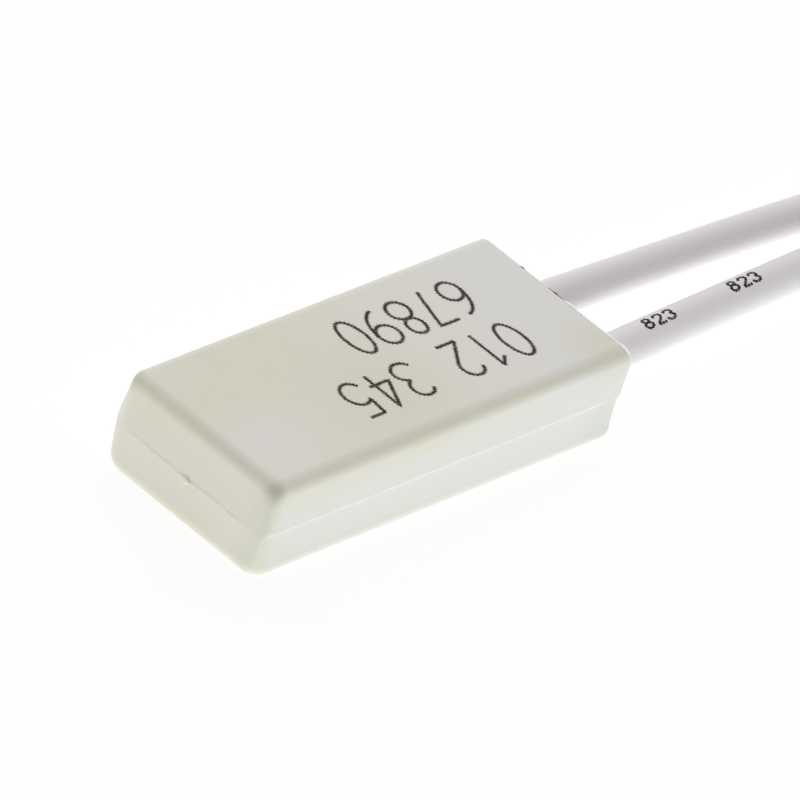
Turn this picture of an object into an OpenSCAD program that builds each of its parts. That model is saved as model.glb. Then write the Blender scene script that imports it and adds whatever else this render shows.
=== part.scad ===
// Plastic-cased thermal fuse with two insulated leads, lying on its underside.
// Millimetres. +X runs along the case from the closed end to the mouth, +Z is up,
// and the origin is the centre of the underside.

/* [Case] */
// Length of the case from the closed end to the mouth
case_l = 20; // [17:0.5:26]
// Width of the case at the parting line
case_w = 8.9; // [8.2:0.1:11]
// Height of the case
case_h = 4.65; // [4.4:0.05:6]
// Height of the parting line above the underside
parting_z = 2.4; // [2.1:0.05:2.8]
// How far each side leans in between the parting line and the next edge
draft = 0.12; // [0.05:0.01:0.2]
// Radius of the upright corners at the closed end
corner_r = 0.78; // [0.6:0.02:1]
// Radius of the edges round the top face
top_r = 0.6; // [0.4:0.05:0.9]
// Radius of the edges round the underside
bottom_r = 0.88; // [0.6:0.02:1.1]
// Thickness of the two side walls at the mouth
side_wall = 0.8; // [0.6:0.05:1]
// Thickness of the closed end
end_wall = 0.9; // [0.6:0.05:1.2]
// Thickness of the floor at the mouth
floor_wall = 0.7; // [0.5:0.05:0.9]
// Thickness of the roof at the mouth
roof_wall = 0.75; // [0.5:0.05:0.9]
// How far the pocket narrows on each side between the mouth and the closed end
pocket_draft = 0.1; // [0:0.02:0.2]
// Radius of the pocket's long corners
pocket_r = 0.4; // [0.2:0.05:0.6]
// Diameter of the trimmed gate stub on the closed end
gate_d = 0.55; // [0.3:0.05:0.9]
// How far the gate stub stands out
gate_out = 0.06; // [0.02:0.01:0.15]

/* [Sealing resin] */
// How far the resin's face lies inside the mouth
resin_recess = 0.25; // [0.1:0.05:0.6]
// Depth of the resin along the case
resin_depth = 5; // [4.2:0.1:6]

/* [Leads] */
// Distance between the two leads where they leave the resin
lead_pitch = 3.9; // [3.2:0.1:4.4]
// Height of the leads above the underside where they leave the resin
lead_z = 2.2; // [1.9:0.05:2.5]
// Diameter of the insulation
lead_d = 1.6; // [1.3:0.05:1.8]
// Diameter of the bundle of strands
core_d = 0.76; // [0.5:0.02:0.9]
// How far the insulation reaches into the resin
jacket_entry = 3.2; // [2:0.1:3.8]
// Length of the stripped strands at the far end
bare_tip = 6; // [3:0.5:10]

/* [Fuse element] */
// Thickness of the terminal strip
strip_t = 0.3; // [0.2:0.05:0.35]
// Width of the terminal tongue
tongue_w = 1.8; // [1.2:0.1:2.4]
// Width of the neck between the tongue and the barrel
neck_w = 1; // [0.8:0.05:1.2]
// Length of the neck
neck_l = 1; // [0.5:0.1:1.5]
// Length of the crimp barrel
barrel_l = 2.4; // [1.5:0.1:3]
// Bare strands between the insulation and the crimp barrel
strip_gap = 0.6; // [0.3:0.1:1]
// How far the strands reach past the crimp barrel
strand_out = 0.4; // [0.2:0.1:0.8]
// Width of the seam along the crimp barrel
seam_w = 0.12; // [0.05:0.01:0.2]
// Diameter of the fusible bar
link_d = 1; // [0.7:0.05:1.2]
// How far the bar is pressed flat onto the tongues
link_flat = 0.12; // [0.05:0.01:0.2]
// Distance from the closed end's inner face to the middle of the bar
link_from_end = 4; // [3:0.1:5]
// Length of tongue between the bar's middle and the tongue's tip
tongue_over = 1.2; // [0.8:0.1:1.6]
// How far the bar reaches past the middle of each tongue
link_over = 0.6; // [0.3:0.05:0.9]
// Depth of the flux bed along the case
flux_l = 6.4; // [4:0.1:8]
// Flux above the bar
flux_cover = 0.35; // [0.1:0.05:0.6]

/* [Hidden] */

// Room left between a piece and the hole, pocket or bed that it sits in
fit = 0.02;
// Thickness of the slices that a rounded body is stretched between
slice = 0.02;
// How far a cutting shape runs past the face that it cuts
cut_past = 0.5;
$fn = 32;

end_x = -case_l / 2;
mouth_x = case_l / 2;
pocket_end_x = end_x + end_wall;
pocket_w = case_w - 2 * side_wall;
pocket_h = case_h - floor_wall - roof_wall;
pocket_z = floor_wall + pocket_h / 2;

resin_out_x = mouth_x - resin_recess;
resin_in_x = resin_out_x - resin_depth;

lead_sides = 8;
// Ratio of an octagon's corner radius to the distance of its flats
corner_ratio = 1 / cos(180 / lead_sides);
jacket_in_x = resin_out_x - jacket_entry;
core_hole_r = (core_d / 2 + fit) * corner_ratio;
// Inside the insulation the bundle is a touch slimmer than at its bare ends
covered_core_r = core_d / 2 - fit;

barrel_out_x = jacket_in_x - strip_gap;
barrel_in_x = barrel_out_x - barrel_l;
strand_in_x = barrel_in_x - strand_out;
barrel_bore_r = core_d / 2 + fit;
barrel_r = barrel_bore_r + strip_t;
// The strip lies a sixth of its thickness above the barrel's lowest line
strip_z = lead_z - barrel_r + strip_t / 6;
tongue_z = strip_z + strip_t;
tongue_out_x = barrel_in_x - neck_l;

link_x = pocket_end_x + link_from_end;
link_z = tongue_z + link_d / 2 - link_flat;
link_l = lead_pitch + 2 * link_over;
tongue_in_x = link_x - tongue_over;
flux_top_z = link_z + link_d / 2 + flux_cover;

// Each lead's route outside the case. The first number runs along X from the mouth, the second
// outwards from the lead's own exit, and the third is the share of the fall from exit to floor.
left_route = [
    [1, 0, 0], [4, -0.12, 0], [8, -0.28, 0.02], [12, -0.43, 0.04], [16, -0.58, 0.1],
    [20, -0.7, 0.22], [24, -0.8, 0.42], [28, -0.8, 0.66], [32, -0.75, 0.86], [36, -0.6, 0.97],
    [40, -0.4, 1], [44, -0.1, 1], [48, 0.3, 1], [52, 0.75, 1], [56, 1.2, 1], [60, 1.5, 1],
    [62, 1.6, 1], [64, 1.6, 1]
];
right_route = [
    [1, 0, 0], [4, -0.12, 0], [8, -0.28, 0.02], [12, -0.43, 0.04], [16, -0.58, 0.1],
    [20, -0.7, 0.24], [24, -0.75, 0.46], [28, -0.7, 0.7], [32, -0.5, 0.9], [36, -0.2, 0.98],
    [40, 0.2, 1], [44, 0.7, 1], [48, 1.25, 1], [52, 1.8, 1], [56, 2.25, 1], [60, 2.55, 1],
    [62, 2.6, 1], [64, 2.6, 1]
];

function lead_y(side) = side * lead_pitch / 2;
function fallen(share) = lead_z - share * (lead_z - lead_d / 2);
function placed_route(route, side) = [
    [jacket_in_x, lead_y(side), lead_z],
    for (p = route) [mouth_x + p[0], lead_y(side) + side * p[1], fallen(p[2])]
];
function unit(v) = v / norm(v);
function heading(points, i) = unit(points[min(i + 1, len(points) - 1)] - points[max(i - 1, 0)]);
function ring(centre, ahead, r) =
    let (across = unit(cross([0, 0, 1], ahead)), upward = cross(ahead, across))
    [for (k = [0:lead_sides - 1])
        let (a = (k + 0.5) * 360 / lead_sides)
        centre + r * (cos(a) * across + sin(a) * upward)];
function rings(points, r) =
    [for (i = [0:len(points) - 1]) each ring(points[i], heading(points, i), r)];
function next(k) = (k + 1) % lead_sides;
// Faces between neighbouring rings, from the ring vertex numbered start
function skin(count, start) = [
    for (i = [0:count - 2], k = [0:lead_sides - 1])
        let (a = start + i * lead_sides, b = a + lead_sides)
        [a + k, b + k, b + next(k), a + next(k)]
];
function reversed(v) = [for (i = [len(v) - 1:-1:0]) v[i]];

// Solid rod along the points
module swept_rod(points, r) {
    last = (len(points) - 1) * lead_sides;
    near_cap = [for (k = [0:lead_sides - 1]) k];
    far_cap = [for (k = [lead_sides - 1:-1:0]) last + k];
    polyhedron(rings(points, r), concat(skin(len(points), 0), [near_cap, far_cap]));
}

// Tube along the points, open at both ends
module swept_tube(points, outer_r, inner_r) {
    count = len(points);
    bore = count * lead_sides;
    last = (count - 1) * lead_sides;
    near_rim = [for (k = [0:lead_sides - 1]) [k, next(k), bore + next(k), bore + k]];
    far_rim = [for (k = [0:lead_sides - 1])
        [last + next(k), last + k, bore + last + k, bore + last + next(k)]];
    bore_skin = [for (face = skin(count, bore)) reversed(face)];
    polyhedron(
        concat(rings(points, outer_r), rings(points, inner_r)),
        concat(skin(count, 0), bore_skin, near_rim, far_rim)
    );
}

// Straight rod along X between two places on the lead's line
module rod_x(from_x, to_x, side, r) {
    translate([from_x, lead_y(side), lead_z])
        rotate([0, 90, 0])
            cylinder(r = r, h = to_x - from_x);
}

// Straight eight-sided rod along X, flats up and down
module flat_sided_rod_x(from_x, to_x, side, flat_r) {
    translate([from_x, lead_y(side), lead_z])
        rotate([0, 90, 0])
            rotate([0, 0, 180 / lead_sides])
                cylinder(r = flat_r * corner_ratio, h = to_x - from_x, $fn = lead_sides);
}

// Round corner where an upright corner meets a rounded edge
module edge_corner(edge_r, swing) {
    rotate_extrude() {
        intersection() {
            translate([swing, 0]) circle(r = edge_r);
            translate([0, -edge_r]) square([swing + edge_r, 2 * edge_r]);
        }
    }
}

// One half of the moulding, standing on the parting line
module case_half(height, edge_r) {
    swing = max(corner_r - edge_r, 0);
    round_r = swing + edge_r;
    hull() {
        for (side = [-1, 1]) {
            translate([end_x + corner_r, side * (case_w / 2 - corner_r), 0])
                cylinder(r = corner_r, h = slice);
            translate([mouth_x - slice / 2, side * (case_w - slice) / 2, slice / 2])
                cube(slice, center = true);
            translate([end_x + draft + round_r, side * (case_w / 2 - draft - round_r), height - edge_r])
                edge_corner(edge_r, swing);
            translate([mouth_x - slice, side * (case_w / 2 - draft - edge_r), height - edge_r])
                rotate([0, 90, 0])
                    cylinder(r = edge_r, h = slice);
        }
    }
}

// Rounded slice across the pocket, drawn in by inset on every side
module pocket_slice(x, inset) {
    translate([x, 0, pocket_z]) {
        for (side = [-1, 1], level = [-1, 1]) {
            translate([0, side * (pocket_w / 2 - inset - pocket_r), level * (pocket_h / 2 - inset - pocket_r)])
                rotate([0, 90, 0])
                    cylinder(r = pocket_r, h = slice);
        }
    }
}

// The pocket inside the case, or what fills it when gap is above zero
module pocket_space(gap) {
    hull() {
        pocket_slice(pocket_end_x + gap, pocket_draft + gap);
        pocket_slice(mouth_x + cut_past, gap);
    }
}

// Part of the pocket's filling between two places along X and below a height
module pocket_filling(from_x, to_x, top_z) {
    intersection() {
        pocket_space(fit);
        translate([from_x, -case_w / 2, 0]) cube([to_x - from_x, case_w, top_z]);
    }
}

// Flat strip of the terminal, grown by gap for the bed that it lies in
module terminal_strip(side, gap) {
    translate([tongue_in_x - gap, lead_y(side) - tongue_w / 2 - gap, strip_z - gap])
        cube([tongue_out_x - tongue_in_x + 2 * gap, tongue_w + 2 * gap, strip_t + 2 * gap]);
    translate([tongue_out_x - slice, lead_y(side) - neck_w / 2 - gap, strip_z - gap])
        cube([neck_l + barrel_l / 4, neck_w + 2 * gap, strip_t + 2 * gap]);
}

// Fusible bar with a flat underside, grown by gap for the bed that it lies in
module link_bar(gap) {
    intersection() {
        translate([link_x, 0, link_z])
            rotate([90, 0, 0])
                cylinder(d = link_d + 2 * gap, h = link_l + 2 * gap, center = true);
        translate([link_x, 0, tongue_z - gap + link_d])
            cube([2 * link_d, 2 * link_l, 2 * link_d], center = true);
    }
}

module terminal(side) {
    color("goldenrod") difference() {
        union() {
            terminal_strip(side, 0);
            rod_x(barrel_in_x, barrel_out_x, side, barrel_r);
        }
        rod_x(barrel_in_x - cut_past, barrel_out_x + cut_past, side, barrel_bore_r);
        translate([barrel_in_x - cut_past, lead_y(side) - seam_w / 2, lead_z])
            cube([barrel_l + 2 * cut_past, seam_w, 2 * barrel_r]);
    }
}

module lead_jacket(route, side) {
    color("whitesmoke")
        swept_tube(placed_route(route, side), lead_d / 2 * corner_ratio, core_hole_r);
}

module lead_conductor(route, side) {
    points = placed_route(route, side);
    far_end = points[len(points) - 1];
    color("silver") {
        rod_x(strand_in_x, jacket_in_x, side, core_d / 2);
        swept_rod(points, covered_core_r);
        translate(far_end)
            rotate([0, 90, 0])
                cylinder(d = core_d, h = bare_tip);
    }
}

module case() {
    color([0.86, 0.85, 0.8]) difference() {
        union() {
            translate([0, 0, parting_z]) case_half(case_h - parting_z, top_r);
            translate([0, 0, parting_z]) mirror([0, 0, 1]) case_half(parting_z, bottom_r);
            translate([end_x - gate_out, 0, parting_z])
                rotate([0, 90, 0])
                    cylinder(d = gate_d, h = gate_out + end_wall / 2);
        }
        pocket_space(0);
    }
}

module sealing_resin() {
    color([0.16, 0.15, 0.15]) difference() {
        pocket_filling(resin_in_x, resin_out_x, case_h);
        for (side = [-1, 1]) {
            flat_sided_rod_x(jacket_in_x - fit, mouth_x, side, lead_d / 2 + fit);
            rod_x(barrel_out_x, jacket_in_x, side, core_d / 2 + fit);
            rod_x(resin_in_x - cut_past, barrel_out_x + fit, side, barrel_r + fit);
        }
    }
}

module fusible_link() {
    color("lightslategray") link_bar(0);
}

module flux() {
    color([0.8, 0.6, 0.25, 0.7]) difference() {
        pocket_filling(link_x - flux_l / 2, link_x + flux_l / 2, flux_top_z);
        link_bar(fit);
        for (side = [-1, 1]) terminal_strip(side, fit);
    }
}

case();
sealing_resin();
lead_jacket(left_route, 1);  // left_lead_jacket
lead_jacket(right_route, -1);  // right_lead_jacket
lead_conductor(left_route, 1);  // left_lead_conductor
lead_conductor(right_route, -1);  // right_lead_conductor
terminal(1);  // left_terminal
terminal(-1);  // right_terminal
fusible_link();
flux();
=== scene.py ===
"""Thermal fuse: a moulded cup case sealed with resin, on two insulated leads.

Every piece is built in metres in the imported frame's axes: +X from the closed end of the case towards the
leads, +Z up from the case's underside, the left lead on +Y.
"""

import math

import bmesh
import bpy
from bpy.props import FloatProperty, FloatVectorProperty, PointerProperty, StringProperty
from mathutils import Matrix, Vector, geometry, noise


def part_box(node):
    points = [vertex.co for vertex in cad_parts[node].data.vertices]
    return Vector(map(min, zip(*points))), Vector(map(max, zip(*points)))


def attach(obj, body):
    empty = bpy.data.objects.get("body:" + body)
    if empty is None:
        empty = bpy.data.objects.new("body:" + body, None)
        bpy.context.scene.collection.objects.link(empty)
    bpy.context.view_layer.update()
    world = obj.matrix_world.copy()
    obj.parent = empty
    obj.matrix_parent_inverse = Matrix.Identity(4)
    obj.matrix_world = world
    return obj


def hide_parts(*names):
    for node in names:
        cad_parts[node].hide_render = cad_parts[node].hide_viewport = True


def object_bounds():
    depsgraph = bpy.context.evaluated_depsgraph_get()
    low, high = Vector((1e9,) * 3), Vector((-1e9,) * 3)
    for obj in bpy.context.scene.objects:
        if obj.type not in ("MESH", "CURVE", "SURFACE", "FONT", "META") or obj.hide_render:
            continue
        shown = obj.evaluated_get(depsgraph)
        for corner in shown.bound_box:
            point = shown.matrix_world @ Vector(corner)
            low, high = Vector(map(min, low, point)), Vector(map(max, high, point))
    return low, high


bl_info = {
    "name": "Thermal Fuse",
    "version": (1, 0, 0),
    "blender": (4, 5, 0),
    "location": "View3D > Sidebar > Thermal Fuse",
    "description": "Dresses the packed thermal fuse with moulded, potted, printed and stranded detail",
    "category": "Add Mesh",
}

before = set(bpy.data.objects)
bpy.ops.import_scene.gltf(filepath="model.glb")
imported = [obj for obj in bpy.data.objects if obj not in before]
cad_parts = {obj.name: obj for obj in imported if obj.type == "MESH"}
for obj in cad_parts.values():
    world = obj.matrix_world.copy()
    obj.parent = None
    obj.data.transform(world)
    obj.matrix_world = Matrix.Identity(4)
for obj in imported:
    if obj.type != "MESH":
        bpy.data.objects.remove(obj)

# The CAD model's own box and the boxes that the new pieces start from
CAD_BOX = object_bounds()
CASE_LOW, CASE_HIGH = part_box("case")
RESIN_LOW, RESIN_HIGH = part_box("sealing_resin")
JACKET_LOW, JACKET_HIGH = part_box("left_lead_jacket")
STRAND_LOW, STRAND_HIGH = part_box("left_lead_conductor")

MM = 0.001
BODY = "root"
TINY = 1e-6
SIDES = {"left": 1, "right": -1}

# Camera, fitted to the photograph's frame
VIEW_AZIMUTH = math.radians(-54.247)
VIEW_ELEVATION = math.radians(34.357)
VIEW_ROLL = math.radians(16.513)
VIEW_PLACE = Vector((-356.482, -258.154, 304.055)) * MM
VIEW_LENS = 614.5
VIEW_SENSOR = 36.0
VIEW_NEAR = 0.01
VIEW_FAR = 20.0

# Each lead beyond the mouth, in millimetres: run along X, drift outwards, share of its fall to the floor
LEFT_ROUTE = (
    (1, 0, 0), (4, -0.12, 0), (8, -0.28, 0.02), (12, -0.43, 0.04), (16, -0.58, 0.1), (20, -0.7, 0.22),
    (24, -0.8, 0.42), (28, -0.8, 0.66), (32, -0.75, 0.86), (36, -0.6, 0.97), (40, -0.4, 1), (44, -0.1, 1),
    (48, 0.3, 1), (52, 0.75, 1), (56, 1.2, 1), (60, 1.5, 1), (62, 1.6, 1), (64, 1.6, 1),
)
RIGHT_ROUTE = (
    (1, 0, 0), (4, -0.12, 0), (8, -0.28, 0.02), (12, -0.43, 0.04), (16, -0.58, 0.1), (20, -0.7, 0.24),
    (24, -0.75, 0.46), (28, -0.7, 0.7), (32, -0.5, 0.9), (36, -0.2, 0.98), (40, 0.2, 1), (44, 0.7, 1),
    (48, 1.25, 1), (52, 1.8, 1), (56, 2.25, 1), (60, 2.55, 1), (62, 2.6, 1), (64, 2.6, 1),
)
ROUTES = {"left": LEFT_ROUTE, "right": RIGHT_ROUTE}

# Fine shape of the case: facets of its rounds, and shares of a radius or of the parting line's bead
UPRIGHT_FACETS = 14
EDGE_FACETS = 12
BEAD_FACETS = 2
PLATE_FACETS = 8
RIM_CUTS = 15
BEAD_STEP = 0.2 * MM
BEAD_RISE = 0.06
GROOVE_SINK = 0.1
GROOVE_RAGGED = 0.12
BEAD_WANDER = 0.25
BEAD_FINE = 0.7
FLARE_DROP = 0.9
FLARE_REACH = 1.7
GATE_SIZE = (0.07 * MM, 0.23 * MM, 0.2 * MM)
GATE_TEAR = 0.2
GATE_DROP = 0.1 * MM

# Noise scales per metre of the ragged shapes
BEAD_COARSE_NOISE = 700.0
BEAD_FINE_NOISE = 2600.0
BEAD_WANDER_NOISE = 1100.0
DROP_NOISE = 4000.0
STRAY_NOISE = 9000.0

# Least and mean width of a ragged stroke, as shares of its full width
STROKE_LEAST = 0.1
STROKE_MEAN = 0.8

# How far a face leans, by its normal, to count as a top edge, an upright corner or a long wall's foot
TOP_LEAN = 0.15
UPRIGHT_LEAN = 0.03
FOOT_LEAN = 0.05
FOOT_SIDE = 0.1

# A share that rises or falls, and a texture that isn't stretched
RISING = (0.0, 1.0)
FALLING = (1.0, 0.0)
EVEN = (1.0, 1.0, 1.0)

# Soft spots on the case: middle along X and Y, radius and greatest share; the last spot is painted shade
# towards the mouth's right corner
PALE_SPOT = (-7.8 * MM, -2.2 * MM, 3.2 * MM, 0.8)
DULL_SPOT = (-1.4 * MM, -1.2 * MM, 4.4 * MM, 0.8)
EDGE_SHADE_SPOT = (9.4 * MM, -3.6 * MM, 2.6 * MM, 0.6)
SPOT_CORE = 0.2

# Stretches of the case over which one tone gives way to another
END_TO_MOUTH = (0.4 * CASE_LOW.x, CASE_HIGH.x)
MOUTH_SHADE = (0.7 * CASE_HIGH.x, 0.95 * CASE_HIGH.x)
MOUTH_SEAM = (0.9 * CASE_HIGH.x, 0.97 * CASE_HIGH.x)
WALL_EDGE = (0.965 * CASE_HIGH.y, 0.995 * CASE_HIGH.y)
END_FACE = (0.985 * CASE_LOW.x, 0.96 * CASE_LOW.x)
END_TURN = (0.92 * CASE_LOW.y, 0.6 * CASE_LOW.y)
SEAM_ENDS = (0.66 * CASE_HIGH.y, 0.82 * CASE_HIGH.y)
GATE_FACE = (CASE_LOW.x - 0.04 * MM, CASE_LOW.x - 0.01 * MM)
CORNER_INSET = 0.2 * MM
CORNER_REACH = (0.15 * MM, 0.9 * MM)
SEAM_SWING = 0.03 * MM

# Painted shade under and painted light over the parting line on the long walls, and how far the other tones
# go
LOWER_WALL_SHADE = 0.985
UPPER_WALL_LIGHT = 1.015
MOTTLE_SHARE = (0.0, 0.4)
EDGE_SHARE = (0.0, 0.8)
EDGE_TURN = (0.1, 0.9)
BRIGHT_SEAM = (0.2, 1.5)
SHADED_SEAM = (0.0, 1.9)

# Noise patterns of the finishes: scale per metre, detail and the range of the noise that is used
MOTTLE = (190.0, 3.0, (0.4, 0.64))
SEAM_WAVE = (900.0, 2.0, (0.3, 0.7))
SEAM_BLOTCHES = (1500.0, 2.0, (0.35, 0.65))
SEAM_SHADE_NOISE = (1100.0, 3.0, (0.3, 0.7))
CASE_SHEEN = (900.0, 2.0, (0.3, 0.7))
TORN_PATCHES = (3000.0, 3.0, (0.35, 0.65))
VINYL_STREAKS = (1400.0, 2.0, (0.3, 0.7))
VINYL_SHEEN = (400.0, 2.0, (0.3, 0.7))
INK_DROPS = (7000.0, 2.0, (0.47, 0.66))
INK_HALO = (6000.0, 2.0, (0.35, 0.65))
RESIN_DUST = (6000.0, 2.0, (0.66, 0.74))
METAL_TARNISH = (900.0, 3.0, (0.35, 0.65))
ROSIN_CLOUDS = (800.0, 3.0, (0.35, 0.65))

# Fine relief of the finishes: scale per metre, detail, depth and strength
CASE_GRAIN = (5200.0, 3.0, 0.006 * MM, 0.6)
VINYL_GRAIN = (2600.0, 2.0, 0.008 * MM, 0.5)
INK_GRAIN = (9000.0, 2.0, 0.004 * MM, 0.5)
RESIN_GRAIN = (700.0, 3.0, 0.05 * MM, 0.5)
METAL_GRAIN = (6000.0, 2.0, 0.004 * MM, 0.5)
ROSIN_GRAIN = (1500.0, 2.0, 0.02 * MM, 0.5)

# How far a pattern is drawn out along X
VINYL_DRAWN = (0.03, 1.0, 1.0)
VINYL_RIBBED = (0.06, 1.0, 1.0)
WIRE_DRAWN = (0.1, 1.0, 1.0)


def length_property(name, description, default):
    """A length in metres for one of the property groups."""
    return FloatProperty(name=name, description=description, default=default, unit="LENGTH", precision=6)


def colour_property(name, description, default):
    """A linear colour for one of the property groups."""
    return FloatVectorProperty(
        name=name, description=description, default=default, subtype="COLOR", size=3, min=0.0, max=1.0
    )


class FuseCaseSizes(bpy.types.PropertyGroup):
    """Sizes of the moulded case and of the resin in its mouth."""

    length: length_property("Length", "Closed end to mouth", 2 * CASE_HIGH.x)
    width: length_property("Width", "Across both leads, at the parting line", CASE_HIGH.y - CASE_LOW.y)
    height: length_property("Height", "Underside to printed face", CASE_HIGH.z - CASE_LOW.z)
    parting: length_property("Parting height", "Height of the line where the mould halves meet", 2.4 * MM)
    top_draft: length_property("Top draft", "How far the walls lean in above the parting line", 0.14 * MM)
    foot_draft: length_property("Foot draft", "How far the walls lean in below the parting line", 0.09 * MM)
    right_corner: length_property("Right corner", "Upright corner of the closed end, right", 0.64 * MM)
    left_corner: length_property("Left corner", "Upright corner of the closed end, left", 0.84 * MM)
    corner_power: FloatProperty(
        name="Corner power", description="2 for a round right corner, more for a squarer one", default=3.4
    )
    foot_radius: length_property("Foot radius", "Both corners where they reach the underside", 0.96 * MM)
    top_radius: length_property("Top radius", "Edge round the printed face", 0.6 * MM)
    bottom_radius: length_property("Bottom radius", "Edge round the underside", 0.82 * MM)
    side_wall: length_property("Side wall", "Thickness beside the pocket", 0.8 * MM)
    floor_wall: length_property("Floor wall", "Thickness under the pocket", 0.7 * MM)
    roof_wall: length_property("Roof wall", "Thickness over the pocket", 0.75 * MM)
    end_wall: length_property("End wall", "Thickness of the closed end", 0.9 * MM)
    pocket_radius: length_property("Pocket radius", "Inner corners of the mouth", 0.4 * MM)
    wall_rise: length_property("Wall rise", "How much higher the parting line is on the walls", 0.1 * MM)
    witness: length_property("Witness line", "Half width of the parting line's bead", 0.07 * MM)
    mouth_step: length_property("Mouth step", "Set-back of the rim under the parting line", 0.15 * MM)
    flare: length_property("Flare", "How far the mouth's upper right corner stands out", 0.24 * MM)
    meniscus: length_property("Meniscus", "How far the resin climbs the walls and the leads", 0.16 * MM)


class FuseLeadSizes(bpy.types.PropertyGroup):
    """Sizes of the insulated leads and their bare ends."""

    diameter: length_property("Diameter", "Over the insulation", 1.6 * MM)
    pitch: length_property("Pitch", "Between the leads where they leave the mouth", 3.9 * MM)
    strand: length_property("Strand", "Diameter of one of the seven tinned strands", 0.25 * MM)
    lay: length_property("Lay", "Length of one turn of the strands", 11 * MM)


class FusePrintSizes(bpy.types.PropertyGroup):
    """Plain numbers printed on the case and along one lead."""

    first_row: StringProperty(
        name="First row", description="Digits nearest the right wall", default="012 345"
    )
    second_row: StringProperty(
        name="Second row", description="Digits nearest the left wall", default="67890"
    )
    lead_row: StringProperty(
        name="Lead digits", description="Dotted digits on the right lead", default="823"
    )
    digit_height: length_property("Digit height", "Height of a digit on the case", 2.1 * MM)
    digit_pitch: length_property("Digit pitch", "Step from one digit to the next", 1.45 * MM)
    stroke: length_property("Stroke", "Width of an ink stroke", 0.14 * MM)
    bleed: length_property("Bleed", "Width of the halo round a stroke", 0.25 * MM)
    lead_height: length_property("Lead digit height", "Height of a digit on the lead", 0.54 * MM)
    lead_width: length_property("Lead digit width", "Width of a digit on the lead", 0.42 * MM)
    lead_pitch: length_property("Lead digit pitch", "Step from one digit to the next on the lead", 0.66 * MM)


class FuseFinishes(bpy.types.PropertyGroup):
    """Colours of the finishes, as linear values."""

    case_end: colour_property("Case, closed end", "Plastic towards the closed end", (0.80, 0.78, 0.65))
    case_mouth: colour_property("Case, mouth", "Plastic towards the mouth", (0.81, 0.80, 0.765))
    case_dull: colour_property("Case, dull spot", "Duller plastic in the middle", (0.765, 0.752, 0.635))
    case_wall: colour_property("Case, side walls", "Plastic of the two long walls", (0.81, 0.81, 0.765))
    case_patch: colour_property("Case, patches", "Paler patches of the plastic", (0.815, 0.80, 0.755))
    # Painted shade on the rounded edges and towards the mouth's right corner
    case_edge_shade: colour_property("Case, edge shade", "Plastic on the rounded edges", (0.745, 0.732, 0.595))
    # Painted shade on the closed end beside the right corner
    case_turn_shade: colour_property("Case, turn shade", "Closed end beside the right corner", (0.745, 0.745, 0.645))
    # Painted shading on the upright corners, set by which way their faces turn
    case_upright_shading: colour_property("Case, upright shading", "Plastic on the upright corners", (0.775, 0.79, 0.675))
    # Painted shade on the two upper corners of the closed end
    case_corner_shade: colour_property("Case, corner shade", "Plastic on the upper corners", (0.565, 0.56, 0.44))
    # Painted shade on the long walls low down at the mouth
    case_shade: colour_property("Case, shade", "Long walls low down at the mouth", (0.745, 0.77, 0.72))
    # Pale flash on the walls' parting line, brightened further as a painted highlight
    case_flash_highlight: colour_property("Case, flash highlight", "Parting line along the long walls", (0.92, 0.92, 0.875))
    # Painted shade in the parting line's groove across the closed end
    case_groove_shade: colour_property("Case, groove shade", "Parting line across the closed end", (0.67, 0.66, 0.56))
    case_torn: colour_property("Case, burr", "Torn plastic on the mouth's rim", (0.97, 0.98, 0.93))
    lead: colour_property("Lead", "Insulation of the leads", (0.80, 0.765, 0.79))
    ink: colour_property("Ink", "Print on the case and the lead", (0.005, 0.004, 0.004))
    dry_ink: colour_property("Dry ink", "Print between its drops", (0.15, 0.12, 0.105))
    resin: colour_property("Resin", "Potting in the mouth", (0.022, 0.021, 0.020))
    tin: colour_property("Tinned copper", "Bare strands", (0.72, 0.71, 0.69))
    brass: colour_property("Brass", "Crimp terminals", (0.72, 0.53, 0.25))
    alloy: colour_property("Fuse alloy", "Link that melts", (0.60, 0.61, 0.62))
    rosin: colour_property("Rosin", "Flux round the link", (0.62, 0.40, 0.12))


def settings():
    """The property groups held by the scene."""
    scene = bpy.context.scene
    return scene.fuse_case, scene.fuse_leads, scene.fuse_print, scene.fuse_finishes


# Nodes that the finishes are made of


def feed(tree, socket, value):
    """Links a socket to a value that another node gives, or sets a plain one."""
    if isinstance(value, bpy.types.NodeSocket):
        tree.links.new(value, socket)
    else:
        socket.default_value = value


def add_node(tree, kind, *values, operation=None, **named):
    """A shader node: its first sockets take the values in order, others by their names."""
    node = tree.nodes.new("ShaderNode" + kind)
    if operation:
        node.operation = operation
    for socket, value in zip(node.inputs, values):
        feed(tree, socket, value)
    for name, value in named.items():
        feed(tree, node.inputs[name], value)
    return node


def maths(tree, operation, *values):
    """The result of an operation on numbers."""
    return add_node(tree, "Math", *values, operation=operation).outputs[0]


def vector_maths(tree, operation, *values):
    """The result of an operation on vectors, which is a number for some of them."""
    node = add_node(tree, "VectorMath", *values, operation=operation)
    return node.outputs["Value" if operation in ("DISTANCE", "DOT_PRODUCT", "LENGTH") else "Vector"]


def product(tree, first, *others):
    """The product of several shares."""
    for other in others:
        first = maths(tree, "MULTIPLY", first, other)
    return first


def remap(tree, value, source, target):
    """Value brought from the source range to the target range, with smooth ends."""
    spread = add_node(tree, "MapRange", value, *source, *target)
    spread.interpolation_type = "SMOOTHSTEP"
    return spread.outputs["Result"]


def object_place(tree):
    """The Object coordinates."""
    return add_node(tree, "TexCoord").outputs["Object"]


def object_axis(tree, axis):
    """One of the Object coordinates: X, Y or Z."""
    return add_node(tree, "SeparateXYZ", object_place(tree)).outputs[axis]


def object_noise(tree, scale, detail, stretch):
    """Noise on Object coordinates, stretched along the axes."""
    mapping = add_node(tree, "Mapping", object_place(tree), Scale=stretch)
    texture = add_node(tree, "TexNoise", mapping.outputs["Vector"], Scale=scale, Detail=detail)
    return texture.outputs["Fac"]


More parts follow.
